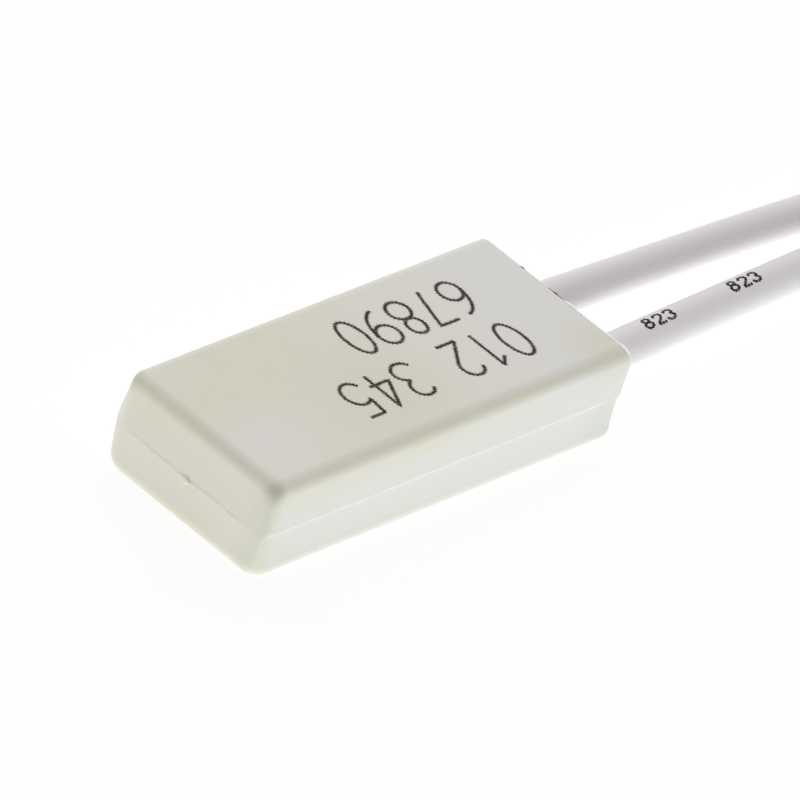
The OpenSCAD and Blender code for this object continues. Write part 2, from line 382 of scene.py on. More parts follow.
def patches(tree, pattern, target=RISING, stretch=EVEN):
    """Soft patches of a noise pattern, spread over the target range."""
    scale, detail, source = pattern
    return remap(tree, object_noise(tree, scale, detail, stretch), source, target)


def face_share(tree, name):
    """A share that the mesh keeps on each of its faces."""
    attribute = add_node(tree, "Attribute")
    attribute.attribute_name = name
    return attribute.outputs["Fac"]


def mix_colours(tree, share, first, second):
    """First colour to second by the share; a colour comes from a node or has three numbers."""
    mix = add_node(tree, "Mix", share)
    mix.data_type = "RGBA"
    for socket, colour in ((mix.inputs[6], first), (mix.inputs[7], second)):
        feed(tree, socket, colour if isinstance(colour, bpy.types.NodeSocket) else (*colour, 1.0))
    return mix.outputs[2]


def scaled(numbers, share):
    """The numbers of a colour or a range, each times the share."""
    return tuple(number * share for number in numbers)


def new_finish(name):
    """A new node material, its tree and its Principled shader."""
    material = bpy.data.materials.new(name)
    material.use_nodes = True
    tree = material.node_tree
    return material, tree, tree.nodes["Principled BSDF"]


def add_grain(tree, shader, grain, stretch=EVEN):
    """Gives a shader fine relief."""
    scale, detail, depth, strength = grain
    height = object_noise(tree, scale, detail, stretch)
    bump = add_node(tree, "Bump", Strength=strength, Distance=depth, Height=height)
    feed(tree, shader.inputs["Normal"], bump.outputs["Normal"])


def patchy_finish(name, pattern, colours, rough):
    """A finish whose colour and roughness go from their first value to their second in the same patches."""
    material, tree, shader = new_finish(name)
    share = patches(tree, pattern)
    feed(tree, shader.inputs["Base Color"], mix_colours(tree, share, *colours))
    feed(tree, shader.inputs["Roughness"], remap(tree, share, RISING, rough))
    return material, tree, shader


# Finishes


def spot_share(tree, spot):
    """A soft round spot seen from above."""
    middle_x, middle_y, radius, share = spot
    flat = add_node(tree, "CombineXYZ", object_axis(tree, "X"), object_axis(tree, "Y"))
    gap = vector_maths(tree, "DISTANCE", flat.outputs["Vector"], (middle_x, middle_y, 0.0))
    return remap(tree, gap, (SPOT_CORE * radius, radius), (share, 0.0))


def corner_shade_share(tree, across):
    """Share of painted shade: one at the two upper corners of the closed end, fading out round them."""
    corner = Vector((CASE_LOW.x + CORNER_INSET, CASE_HIGH.y - CORNER_INSET, CASE_HIGH.z - CORNER_INSET))
    mirrored = add_node(tree, "CombineXYZ", object_axis(tree, "X"), across, object_axis(tree, "Z"))
    gap = vector_maths(tree, "DISTANCE", mirrored.outputs["Vector"], corner)
    return remap(tree, gap, CORNER_REACH, FALLING)


def seam_gap(tree, case, wall):
    """How far a place is from the parting line, which is a little wavy and higher on the walls."""
    wave = patches(tree, SEAM_WAVE, (-SEAM_SWING, SEAM_SWING))
    level = maths(tree, "ADD", object_axis(tree, "Z"), wave)
    line = remap(tree, wall, RISING, (case.parting, case.parting + case.wall_rise))
    return maths(tree, "ABSOLUTE", maths(tree, "SUBTRACT", level, line))


def body_layers(tree, finishes):
    """Tones laid over the whole case: mottle, soft spots and a spot of painted shade towards the mouth's
    right corner.
    """
    return [
        (patches(tree, MOTTLE, MOTTLE_SHARE), finishes.case_patch),
        (spot_share(tree, PALE_SPOT), finishes.case_patch),
        (spot_share(tree, DULL_SPOT), finishes.case_dull),
        (spot_share(tree, EDGE_SHADE_SPOT), finishes.case_edge_shade),
    ]


def wall_layers(tree, case, finishes, along, wall):
    """Tones of the long walls: painted light over the parting line, painted shade under it and more painted
    shade low down at the mouth.
    """
    seam_level = case.parting + case.wall_rise
    upper = remap(tree, object_axis(tree, "Z"), (seam_level - case.witness, seam_level), RISING)
    at_mouth = remap(tree, along, MOUTH_SHADE, RISING)
    lower_tone = mix_colours(tree, at_mouth, scaled(finishes.case_wall, LOWER_WALL_SHADE), finishes.case_shade)
    tone = mix_colours(tree, upper, lower_tone, scaled(finishes.case_wall, UPPER_WALL_LIGHT))
    return [(wall, tone), (face_share(tree, "foot"), tone)]


def edge_layers(tree, finishes, across, at_end):
    """Painted shade beside the right corner, on the rounded edges and on the upper corners, and painted
    shading on the upright corners.
    """
    right_shade = remap(tree, object_axis(tree, "Y"), END_TURN, FALLING)
    return [
        (product(tree, at_end, right_shade), finishes.case_turn_shade),
        (face_share(tree, "upright"), finishes.case_upright_shading),
        (remap(tree, face_share(tree, "rounding"), EDGE_TURN, EDGE_SHARE), finishes.case_edge_shade),
        (corner_shade_share(tree, across), finishes.case_corner_shade),
    ]


def seam_layers(tree, case, finishes, along, across, wall, at_end):
    """Tones of the parting line: pale flash with a painted highlight along the walls, painted shade in its
    groove across the closed end.
    """
    gap = seam_gap(tree, case, wall)
    # Pale flash along the walls, brightened as a painted highlight
    bright_line = remap(tree, gap, scaled(BRIGHT_SEAM, case.witness), FALLING)
    off_mouth = remap(tree, along, MOUTH_SEAM, (1.0, 0.2))
    flash_highlight = product(tree, bright_line, patches(tree, SEAM_BLOTCHES, (0.5, 1.0)), wall, off_mouth)
    # Painted shade along the groove across the closed end, ragged, kept off its corners and the gate stub
    shaded_line = remap(tree, gap, scaled(SHADED_SEAM, case.witness), FALLING)
    ragged_shade = patches(tree, SEAM_SHADE_NOISE, (0.35, 1.0))
    off_corners = remap(tree, across, SEAM_ENDS, FALLING)
    off_gate = remap(tree, along, GATE_FACE, RISING)
    groove_shade = product(tree, shaded_line, ragged_shade, at_end, off_corners, off_gate)
    return [(flash_highlight, finishes.case_flash_highlight), (groove_shade, finishes.case_groove_shade)]


def case_plastic(case, finishes):
    """White moulded plastic: mottled, with painted shade on its edges and corners, pale flash with a painted
    highlight along its parting line on the walls, and painted shade in the line's groove across the closed
    end.
    """
    material, tree, shader = new_finish("case_plastic")
    along = object_axis(tree, "X")
    across = maths(tree, "ABSOLUTE", object_axis(tree, "Y"))
    wall = remap(tree, across, WALL_EDGE, RISING)
    at_end = remap(tree, along, END_FACE, FALLING)
    layers = body_layers(tree, finishes)
    layers += wall_layers(tree, case, finishes, along, wall)
    layers += edge_layers(tree, finishes, across, at_end)
    layers += seam_layers(tree, case, finishes, along, across, wall, at_end)
    towards_mouth = remap(tree, along, END_TO_MOUTH, RISING)
    body = mix_colours(tree, towards_mouth, finishes.case_end, finishes.case_mouth)
    for share, tone in layers:
        body = mix_colours(tree, share, body, tone)
    feed(tree, shader.inputs["Base Color"], body)
    feed(tree, shader.inputs["Roughness"], patches(tree, CASE_SHEEN, (0.44, 0.54)))
    add_grain(tree, shader, CASE_GRAIN)
    return material


def torn_plastic(finishes):
    """The case's plastic where it is torn thin: paler and glassy."""
    colours = (scaled(finishes.case_torn, 0.94), finishes.case_torn)
    material, _, shader = patchy_finish("torn_plastic", TORN_PATCHES, colours, (0.2, 0.35))
    shader.inputs["IOR"].default_value = 2.4
    shader.inputs["Coat Weight"].default_value = 1.0
    shader.inputs["Coat IOR"].default_value = 4.0
    shader.inputs["Coat Roughness"].default_value = 0.3
    return material


def lead_vinyl(finishes):
    """Soft white insulation with faint streaks along the extrusion."""
    material, tree, shader = new_finish("lead_vinyl")
    streak = patches(tree, VINYL_STREAKS, stretch=VINYL_DRAWN)
    colour = mix_colours(tree, streak, scaled(finishes.lead, 0.985), finishes.lead)
    feed(tree, shader.inputs["Base Color"], colour)
    feed(tree, shader.inputs["Roughness"], patches(tree, VINYL_SHEEN, (0.28, 0.38)))
    add_grain(tree, shader, VINYL_GRAIN, VINYL_RIBBED)
    return material


def print_ink(finishes):
    """Thin black jet ink, patchy where the drops run dry."""
    colours = (finishes.ink, finishes.dry_ink)
    material, tree, shader = patchy_finish("print_ink", INK_DROPS, colours, (0.5, 0.75))
    add_grain(tree, shader, INK_GRAIN)
    shader.inputs["Specular IOR Level"].default_value = 0.2
    return material


def bled_ink(finishes):
    """A faint brown halo where the ink ran into the plastic."""
    colours = (scaled(finishes.dry_ink, 1.8), finishes.dry_ink)
    material, _, shader = patchy_finish("bled_ink", INK_HALO, colours, (0.6, 0.8))
    shader.inputs["Specular IOR Level"].default_value = 0.0
    shader.inputs["Alpha"].default_value = 0.45
    return material


def potting_resin(finishes):
    """Dark cast resin: glossy, gently uneven, dusted with specks."""
    colours = (finishes.resin, scaled(finishes.resin, 5.0))
    material, tree, shader = patchy_finish("potting_resin", RESIN_DUST, colours, (0.22, 0.6))
    add_grain(tree, shader, RESIN_GRAIN)
    return material


def metal(name, colour, dull, rough, stretch=EVEN):
    """A bare metal with patches of a duller tone and fine drawing marks."""
    colours = (colour, scaled(colour, dull))
    material, tree, shader = patchy_finish(name, METAL_TARNISH, colours, rough)
    add_grain(tree, shader, METAL_GRAIN, stretch)
    shader.inputs["Metallic"].default_value = 1.0
    return material


def rosin_flux(finishes):
    """Amber rosin, cloudy inside and softly glossy."""
    colours = (finishes.rosin, scaled(finishes.rosin, 0.6))
    material, tree, shader = patchy_finish("rosin_flux", ROSIN_CLOUDS, colours, (0.2, 0.4))
    add_grain(tree, shader, ROSIN_GRAIN)
    return material


# Pieces


def add_piece(name, data, material, nodes=()):
    """Links a finished piece, rides it on the body and hides the CAD parts that it stands for."""
    piece = bpy.data.objects.new(name, data)
    bpy.context.collection.objects.link(piece)
    data.materials.append(material)
    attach(piece, BODY)
    if nodes:
        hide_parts(*nodes)
    return piece


def mesh_from(bm, name, sharp_degrees=35.0):
    """A smooth shaded mesh from a bmesh, with its hard edges kept."""
    mesh = bpy.data.meshes.new(name)
    bm.to_mesh(mesh)
    bm.free()
    mesh.shade_smooth()
    mesh.set_sharp_from_angle(angle=math.radians(sharp_degrees))
    return mesh


def tube_mesh(name, strokes, depth, around=2):
    """A capped tube mesh along each stroke: a stroke is a list of (point, radius share)."""
    curve = bpy.data.curves.new(name, "CURVE")
    curve.dimensions = "3D"
    curve.bevel_depth = depth
    curve.bevel_resolution = around
    curve.use_fill_caps = True
    for stroke in strokes:
        spline = curve.splines.new("POLY")
        spline.points.add(len(stroke) - 1)
        for knot, (point, share) in zip(spline.points, stroke):
            knot.co = (*point, 1.0)
            knot.radius = share
    carrier = bpy.data.objects.new(name, curve)
    bpy.context.collection.objects.link(carrier)
    graph = bpy.context.evaluated_depsgraph_get()
    mesh = bpy.data.meshes.new_from_object(carrier.evaluated_get(graph))
    bpy.data.objects.remove(carrier)
    bpy.data.curves.remove(curve)
    mesh.name = name
    mesh.shade_smooth()
    return mesh


def ragged_strokes(runs, place_at, steps, grain, seed, taper, swell):
    """Strokes of uneven width that taper at both ends; a run is its start, stop and width share."""
    strokes = []
    for start, stop, share in runs:
        stroke = []
        for step in range(steps + 1):
            run = (start + (stop - start) * step / steps) * MM
            ragged = noise.noise(Vector((run * grain, *seed)))
            ends = math.sin(math.pi * step / steps) ** taper
            width = max(STROKE_LEAST, ends * (STROKE_MEAN + swell * ragged))
            stroke.append((place_at(run, ragged), share * width))
        strokes.append(stroke)
    return strokes


def edges_where(bm, test):
    """Edges whose two ends both pass the test on their place."""
    return [edge for edge in bm.edges if all(test(vert.co) for vert in edge.verts)]


def round_edges(bm, edges, radius, segments):
    """Rolls a round of that radius along the edges."""
    bmesh.ops.bevel(
        bm,
        geom=edges,
        offset=radius,
        offset_type="OFFSET",
        segments=segments,
        profile=0.5,
        affect="EDGES",
        clamp_overlap=False,
        material=-1,
    )


def rounded_plate(bm, width, height, radius, place):
    """A flat plate with rounded corners that faces along X, its middle at the place."""
    turn = Matrix(((0, 0, 1, 0), (1, 0, 0, 0), (0, 1, 0, 0), (0, 0, 0, 1)))
    grid = bmesh.ops.create_grid(bm, x_segments=1, y_segments=1, size=0.5)
    bmesh.ops.scale(bm, vec=(width, height, 1.0), verts=grid["verts"])
    bmesh.ops.transform(bm, matrix=Matrix.Translation(place) @ turn, verts=grid["verts"])
    rounded = bmesh.ops.bevel(
        bm,
        geom=grid["verts"],
        offset=radius,
        segments=PLATE_FACETS,
        profile=0.5,
        affect="VERTICES",
        material=-1,
    )
    corner = rounded["verts"][0]
    return corner.link_faces[0]


def tighten_corner(vert, case):
    """Draws a point of a rounded upright corner from the foot's radius in to the corner's own."""
    wide = case.foot_radius
    tight = case.left_corner if vert.co.y > 0 else case.right_corner
    hub = Vector((wide - case.length / 2, math.copysign(case.width / 2 - wide, vert.co.y)))
    spoke = (vert.co.xy - hub) / wide
    if spoke.x < TINY and spoke.y * hub.y > -TINY:
        new_hub = Vector((tight - case.length / 2, math.copysign(case.width / 2 - tight, vert.co.y)))
        vert.co.xy = new_hub + spoke * tight


def outside_edges(bm, case, level):
    """Edges at one level, without those across the mouth."""
    reach = case.length / 2 - TINY
    level_edges = edges_where(bm, lambda place: abs(place.z - level) < TINY)
    return [edge for edge in level_edges if min(vert.co.x for vert in edge.verts) < reach]


def case_block(case):
    """The case as a solid block: rounded at the closed end, drafted both ways from the parting line."""
    bm = bmesh.new()
    bmesh.ops.create_cube(bm, size=1.0)
    bmesh.ops.scale(bm, vec=(case.length, case.width, case.height), verts=bm.verts)
    bmesh.ops.translate(bm, vec=(0.0, 0.0, case.height / 2), verts=bm.verts)
    end_edges = edges_where(bm, lambda place: place.x < 0)
    uprights = [edge for edge in end_edges if edge.verts[0].co.y == edge.verts[1].co.y]
    round_edges(bm, uprights, case.foot_radius, UPRIGHT_FACETS)
    everything = bm.verts[:] + bm.edges[:] + bm.faces[:]
    bmesh.ops.bisect_plane(bm, geom=everything, plane_co=(0, 0, case.parting), plane_no=(0, 0, 1))
    for vert in bm.verts:
        if vert.co.z > TINY:
            tighten_corner(vert, case)
        draft = 0.0
        if vert.co.z > case.parting + TINY:
            draft = case.top_draft
        elif vert.co.z < case.parting - TINY:
            draft = case.foot_draft
        vert.co.y -= math.copysign(draft, vert.co.y)
        vert.co.x += draft if vert.co.x < 0 else 0.0
    round_edges(bm, outside_edges(bm, case, case.height), case.top_radius, EDGE_FACETS)
    round_edges(bm, outside_edges(bm, case, 0.0), case.bottom_radius, EDGE_FACETS)
    return bm


def square_corner(bm, case):
    """Pushes the right upright corner out a little above the parting line, where the mould is crisper."""
    hub = Vector((case.right_corner - case.length / 2, case.right_corner - case.width / 2))
    power = case.corner_power
    for vert in bm.verts:
        spoke = hub - vert.co.xy
        if vert.co.z < case.parting or min(spoke) < TINY:
            continue
        share = spoke.normalized()
        push = (share.x**power + share.y**power) ** (-1.0 / power)
        vert.co.xy = hub - spoke * push


def raise_witness(bm, case):
    """Turns the parting line into a ragged bead along the sides and a fine groove across the closed end."""
    for edge in outside_edges(bm, case, case.parting):
        cuts = int(edge.calc_length() / BEAD_STEP)
        if cuts:
            bmesh.ops.bisect_edges(bm, edges=[edge], cuts=cuts)
    round_edges(bm, outside_edges(bm, case, case.parting), case.witness, BEAD_FACETS)
    bm.normal_update()
    for vert in bm.verts:
        if abs(vert.co.z - case.parting) > TINY or vert.co.x > case.length / 2 - TINY:
            continue
        outward = Vector((vert.normal.x, vert.normal.y, 0.0)).normalized()
        ragged = noise.noise(vert.co * BEAD_COARSE_NOISE)
        ragged += BEAD_FINE * noise.noise(vert.co * BEAD_FINE_NOISE)
        bead = abs(outward.y) * BEAD_RISE * (1.0 + ragged)
        groove = max(0.0, -outward.x) * (GROOVE_SINK + GROOVE_RAGGED * ragged)
        vert.co += outward * case.witness * (bead - groove)
        vert.co.z += BEAD_WANDER * case.witness * noise.noise(vert.co * BEAD_WANDER_NOISE)
    for vert in bm.verts:
        on_line = abs(vert.co.z - case.parting) < 2 * case.witness
        if on_line and abs(vert.co.y) > case.width / 2 - 2 * case.witness:
            vert.co.z += case.wall_rise


def split_upper_rim(bm, case):
    """Cuts the mouth's upper edge into short lengths, so that its right end can be drawn out."""
    corner = Vector((case.length / 2, 0.0, case.height))
    upper = edges_where(bm, lambda place: corner.x - place.x < TINY and corner.z - place.z < TINY)
    bmesh.ops.bisect_edges(bm, edges=upper, cuts=RIM_CUTS)


def open_pocket(bm, case):
    """Cuts the mouth out of the block and sinks the pocket that holds the link."""
    half_length = case.length / 2
    mouth = [face for face in bm.faces if all(vert.co.x > half_length - TINY for vert in face.verts)]
    bmesh.ops.delete(bm, geom=mouth, context="FACES")
    loose = [edge for edge in bm.edges if not edge.link_faces]
    bmesh.ops.delete(bm, geom=loose, context="EDGES")
    outer = [edge for edge in bm.edges if edge.is_boundary]

    width = case.width - 2 * case.side_wall
    height = case.height - case.floor_wall - case.roof_wall
    middle = Vector((half_length, 0.0, case.floor_wall + height / 2))
    lid = rounded_plate(bm, width, height, case.pocket_radius, middle)
    inner = list(lid.edges)
    sunk = bmesh.ops.extrude_face_region(bm, geom=[lid], use_keep_orig=False)["geom"]
    floor_verts = [item for item in sunk if isinstance(item, bmesh.types.BMVert)]
    bmesh.ops.translate(bm, vec=(case.end_wall - case.length, 0.0, 0.0), verts=floor_verts)
    if lid.is_valid:
        bmesh.ops.delete(bm, geom=[lid], context="FACES_ONLY")
    bmesh.ops.bridge_loops(bm, edges=outer + inner)
    bmesh.ops.recalc_face_normals(bm, faces=bm.faces)


def step_mouth(bm, case):
    """Draws the mouth's rim back a little just under the parting line, where the mould halves differ."""
    for vert in bm.verts:
        below = case.parting - vert.co.z
        if vert.co.x > case.length / 2 - TINY and abs(vert.co.y) > case.width / 2 - case.side_wall / 2:
            if TINY < below + case.wall_rise < 2 * case.witness:
                vert.co.x -= case.mouth_step


def mouth_flare(case, across, level):
    """How far the mouth's rim stands out just under its upper right corner, where the mould is ragged."""
    gap = math.hypot(across + case.width / 2, level - (case.height - FLARE_DROP * case.top_radius))
    share = max(0.0, 1.0 - gap / (FLARE_REACH * case.top_radius))
    return case.flare * share * share * (3.0 - 2.0 * share)


def flare_mouth(bm, case):
    """Draws the mouth's rim out at its upper right corner."""
    for vert in bm.verts:
        if vert.co.x > case.length / 2 - TINY and vert.co.z > case.parting + case.wall_rise:
            vert.co.x += mouth_flare(case, vert.co.y, vert.co.z)


def mark_faces(bm):
    """Stores on each face how far it belongs to a top edge, an upright corner or a long wall's foot."""
    rounding = bm.faces.layers.float.new("rounding")
    upright = bm.faces.layers.float.new("upright")
    foot = bm.faces.layers.float.new("foot")
    bm.normal_update()
    flat_limit = 1.0 - math.sqrt(0.5)
    for face in bm.faces:
        along, across, up = (abs(share) for share in face.normal)
        if face.normal.z > TOP_LEAN:
            face[rounding] = min(1.0, (1.0 - max(along, across, up)) / flat_limit)
        elif across > along > UPRIGHT_LEAN:
            face[upright] = min(1.0, 2.0 * along)
        elif face.normal.z < -FOOT_LEAN and across > max(along, FOOT_SIDE):
            face[foot] = 1.0


def add_gate_stub(bm, case):
    """The torn stub where the plastic was fed in, on the parting line of the closed end."""
    stub = bmesh.ops.create_icosphere(bm, subdivisions=3, radius=1.0)["verts"]
    for vert in stub:
        vert.co *= 1.0 + GATE_TEAR * noise.noise(vert.co * 1.7)
    bmesh.ops.scale(bm, vec=GATE_SIZE, verts=stub)
    bmesh.ops.translate(bm, vec=(-case.length / 2, 0.0, case.parting - GATE_DROP), verts=stub)


class FUSE_OT_add_case(bpy.types.Operator):
    """Build the moulded case with its pocket, parting line, gate stub and mouth burr"""

    bl_idname = "fuse.add_case"
    bl_label = "Moulded case"

    # Runs of the burr along the rim, in millimetres from its middle, with their share of its radius
    BURR_RUNS = ((0.62, 1.28, 0.8), (2.88, 4.9, 1.0))
    BURR_RADIUS = 0.085 * MM
    BURR_SINK = 0.01 * MM
    BURR_WANDER = 0.012 * MM

    def execute(self, context):
        case, _, _, finishes = settings()
        plastic = case_plastic(case, finishes)
        bm = case_block(case)
        square_corner(bm, case)
        raise_witness(bm, case)
        split_upper_rim(bm, case)
        open_pocket(bm, case)
        step_mouth(bm, case)
        flare_mouth(bm, case)
        mark_faces(bm)
        add_gate_stub(bm, case)
        if any(len(edge.link_faces) != 2 for edge in bm.edges):
            raise RuntimeError("the case isn't a closed shell")
        piece = add_piece("moulded_case", mesh_from(bm, "moulded_case"), plastic, ("case",))
        normals = piece.modifiers.new("even_faces", "WEIGHTED_NORMAL")
        normals.keep_sharp = True
        self.add_burr(case, torn_plastic(finishes))
        return {"FINISHED"}

    def rim_place(self, case, run):
        """A place on the mouth's upper rim: the run goes along the top, round the right edge and down."""
        radius = case.top_radius
        flat_end = case.width / 2 - case.top_draft - radius
        middle = Vector((case.length / 2, -flat_end, case.height - radius))
        if run < flat_end:
            return Vector((case.length / 2, -run, case.height))
        turn = (run - flat_end) / radius
        if turn < math.pi / 2:
            return middle + radius * Vector((0.0, -math.sin(turn), math.cos(turn)))
        return middle + Vector((0.0, -radius, -radius * (turn - math.pi / 2)))

    def add_burr(self, case, torn):
        """A hair of torn plastic along the mouth's upper rim and round its right edge."""

        def place_at(run, ragged):
            place = self.rim_place(case, run)
            out = mouth_flare(case, place.y, place.z)
            return place + Vector((out, 0.0, self.BURR_WANDER * ragged - self.BURR_SINK))

        strokes = ragged_strokes(
            self.BURR_RUNS, place_at, steps=40, grain=2600.0, seed=(3.1, 0.7), taper=0.4, swell=0.5
        )
        add_piece("mouth_burr", tube_mesh("mouth_burr", strokes, self.BURR_RADIUS), torn)


def lead_knots(side, leads):
    """The points that one lead's middle passes through, from inside the resin to the end of its jacket."""
    rest = leads.diameter / 2
    leave = JACKET_HIGH.z - rest
    outwards = SIDES[side]
    knots = [Vector((JACKET_LOW.x, outwards * leads.pitch / 2, leave))]
    for run, drift, fall in ROUTES[side]:
        across = outwards * (leads.pitch / 2 + drift * MM)
        knots.append(Vector((CASE_HIGH.x + run * MM, across, leave - fall * (leave - rest))))
    return knots


def handle_reach(knots, index):
    """A smooth handle at one of the knots: a sixth of the way between its neighbours."""
    before = knots[max(0, index - 1)]
    after = knots[min(len(knots) - 1, index + 1)]
    return (after - before) / 6


def lead_line(knots, steps=10):
    """Points close together along the smooth curve through the knots."""
    line = []
    for index in range(len(knots) - 1):
        start, stop = knots[index], knots[index + 1]
        leaving = start + handle_reach(knots, index)
        arriving = stop - handle_reach(knots, index + 1)
        line.extend(geometry.interpolate_bezier(start, leaving, arriving, stop, steps + 1)[:-1])
    line.append(knots[-1])
    return line


class FUSE_OT_add_leads(bpy.types.Operator):
    """Lay the two insulated leads and their twisted bare ends"""

    bl_idname = "fuse.add_leads"
    bl_label = "Leads"

    OUTER_STRANDS = 6
    BARE_STEPS = 12
    STRAND_TRIM = 0.12 * MM
    JACKET_FACETS = 8

    def execute(self, context):
        _, leads, _, finishes = settings()
        vinyl = lead_vinyl(finishes)
        tin = metal("tinned_copper", finishes.tin, 0.8, (0.26, 0.42), WIRE_DRAWN)
        for side in SIDES:
            knots = lead_knots(side, leads)
            jacket = self.add_jacket(side, knots, leads, vinyl)
            strands = self.add_strands(side, knots, leads, tin)
        return {"FINISHED"}

    def add_jacket(self, side, knots, leads, vinyl):
        """One lead's insulation, a curve with round section."""
        name = side + "_lead"
        curve = bpy.data.curves.new(name, "CURVE")
        curve.dimensions = "3D"
        curve.bevel_depth = leads.diameter / 2
        curve.bevel_resolution = self.JACKET_FACETS
        curve.resolution_u = self.JACKET_FACETS
        curve.use_fill_caps = True
        spline = curve.splines.new("BEZIER")
        spline.bezier_points.add(len(knots) - 1)
        for index, (point, knot) in enumerate(zip(spline.bezier_points, knots)):
            reach = handle_reach(knots, index)
            point.co = knot
            point.handle_left_type = "FREE"
            point.handle_right_type = "FREE"
            point.handle_left = knot - reach
            point.handle_right = knot + reach
        return add_piece(name, curve, vinyl, (side + "_lead_jacket",))

    def add_strands(self, side, knots, leads, tin):
        """Seven strands laid round each other, from the crimp to the bare end."""
        start = Vector((STRAND_LOW.x, knots[0].y, knots[0].z))
        tip = Vector((STRAND_HIGH.x, knots[-1].y, knots[-1].z))
        bare = [knots[-1].lerp(tip, step / self.BARE_STEPS) for step in range(1, self.BARE_STEPS + 1)]
        line = [start] + lead_line(knots) + bare
        strokes = [[(point, 1.0) for point in line]]
        for strand in range(self.OUTER_STRANDS):
            first = strand * 2 * math.pi / self.OUTER_STRANDS
            stroke = []
            for point in line:
                turn = first + 2 * math.pi * point.x / leads.lay
                aside = Vector((0.0, math.cos(turn), math.sin(turn))) * leads.strand
                stroke.append((point + aside, 1.0))
            trim = self.STRAND_TRIM * noise.noise(Vector((first, 0.3, 1.9)))
            end, share = stroke[-1]
            stroke[-1] = (end - Vector((abs(trim), 0.0, 0.0)), share)
            strokes.append(stroke)
        name = side + "_strands"
        mesh = tube_mesh(name, strokes, leads.strand / 2)
        return add_piece(name, mesh, tin, (side + "_lead_conductor",))


class FUSE_OT_add_resin(bpy.types.Operator):
    """Pour the resin into the mouth, with its meniscus, collars and thin dark dashes on the rim"""

    bl_idname = "fuse.add_resin"
    bl_label = "Potting resin"

    # Runs of the dark dashes across the upper rim, in millimetres, with their share of the dashes' radius
    DASH_RUNS = ((1.95, 1.65, 0.8), (0.39, -0.58, 1.0), (-1.5, -1.6, 0.55), (2.95, 2.87, 0.5))
    DASH_RADIUS = 0.04 * MM
    DASH_SINK = 0.008 * MM

    # Steps of the hollow profiles, and their widths as shares of the meniscus
    PROFILE_STEPS = 6
    COLLAR_TURNS = 40
    COLLAR_REACH = 2.2
    COLLAR_SINK = 0.4
    WALL_REACH = 2.0

    def execute(self, context):
        case, leads, _, finishes = settings()
        resin = potting_resin(finishes)
        bm = bmesh.new()
        self.pour(bm, case)
        for outwards in SIDES.values():
            place = Vector((RESIN_HIGH.x, outwards * leads.pitch / 2, JACKET_HIGH.z - leads.diameter / 2))
            self.add_collar(bm, leads.diameter / 2, case.meniscus, place)
        bmesh.ops.recalc_face_normals(bm, faces=bm.faces)
        add_piece("potting", mesh_from(bm, "potting", 50.0), resin, ("sealing_resin",))
        self.add_dark_dashes(case, resin)
        return {"FINISHED"}

    def pour(self, bm, case):
        """The block of resin, its face dished between the walls it wets."""
        size = RESIN_HIGH - RESIN_LOW
        middle = (RESIN_HIGH + RESIN_LOW) / 2
        back = Vector((RESIN_LOW.x, middle.y, middle.z))
        face = rounded_plate(bm, size.y, size.z, case.pocket_radius, back)
        raised = bmesh.ops.extrude_face_region(bm, geom=[face])["geom"]
        verts = [item for item in raised if isinstance(item, bmesh.types.BMVert)]
        front = [item for item in raised if isinstance(item, bmesh.types.BMFace)][0]
        bmesh.ops.translate(bm, vec=(size.x + case.meniscus, 0.0, 0.0), verts=verts)
        front.normal_update()
        outwards = 1.0 if front.normal.x > 0 else -1.0
        steps = self.PROFILE_STEPS
        thickness = self.WALL_REACH * case.meniscus / steps
        for step in range(steps):
            drop = case.meniscus * ((1.0 - (step + 1) / steps) ** 2 - (1.0 - step / steps) ** 2)
            bmesh.ops.inset_region(bm, faces=[front], thickness=thickness, depth=outwards * drop)

    def add_collar(self, bm, radius, climb, place):
        """A ring of resin drawn up round a lead, hollow in profile."""
        reach = self.COLLAR_REACH * climb
        below = self.COLLAR_SINK * climb
        profile = [(radius - below, -below), (radius - below, climb)]
        for step in range(self.PROFILE_STEPS + 1):
            share = step / self.PROFILE_STEPS
            profile.append((radius + reach * share, climb * (1.0 - share) ** 2))
        profile.append((radius + reach, -below))
        verts = [bm.verts.new((place.x + along, place.y + out, place.z)) for out, along in profile]
        edges = [bm.edges.new(pair) for pair in zip(verts, verts[1:] + verts[:1])]
        bmesh.ops.spin(
            bm,
            geom=verts + edges,
            cent=place,
            axis=(1, 0, 0),
            angle=2 * math.pi,
            steps=self.COLLAR_TURNS,
            use_merge=True,
        )

    def add_dark_dashes(self, case, resin):
        """Thin dark dashes in the resin's finish along the upper rim."""

        def place_at(across, ragged):
            return Vector((case.length / 2, across, case.height - self.DASH_SINK))

        strokes = ragged_strokes(
            self.DASH_RUNS, place_at, steps=16, grain=5200.0, seed=(0.4, 8.3), taper=0.5, swell=0.7
        )
        add_piece("rim_smears", tube_mesh("rim_smears", strokes, self.DASH_RADIUS), resin)


# Digits drawn with single strokes in a box one wide and two high


def arc(centre, reach, start, stop, steps=20):
    """Points along part of an ellipse, from start to stop in degrees."""
    points = []
    for step in range(steps + 1):
        angle = math.radians(start + (stop - start) * step / steps)
        points.append((centre[0] + reach[0] * math.cos(angle), centre[1] + reach[1] * math.sin(angle)))
    return points


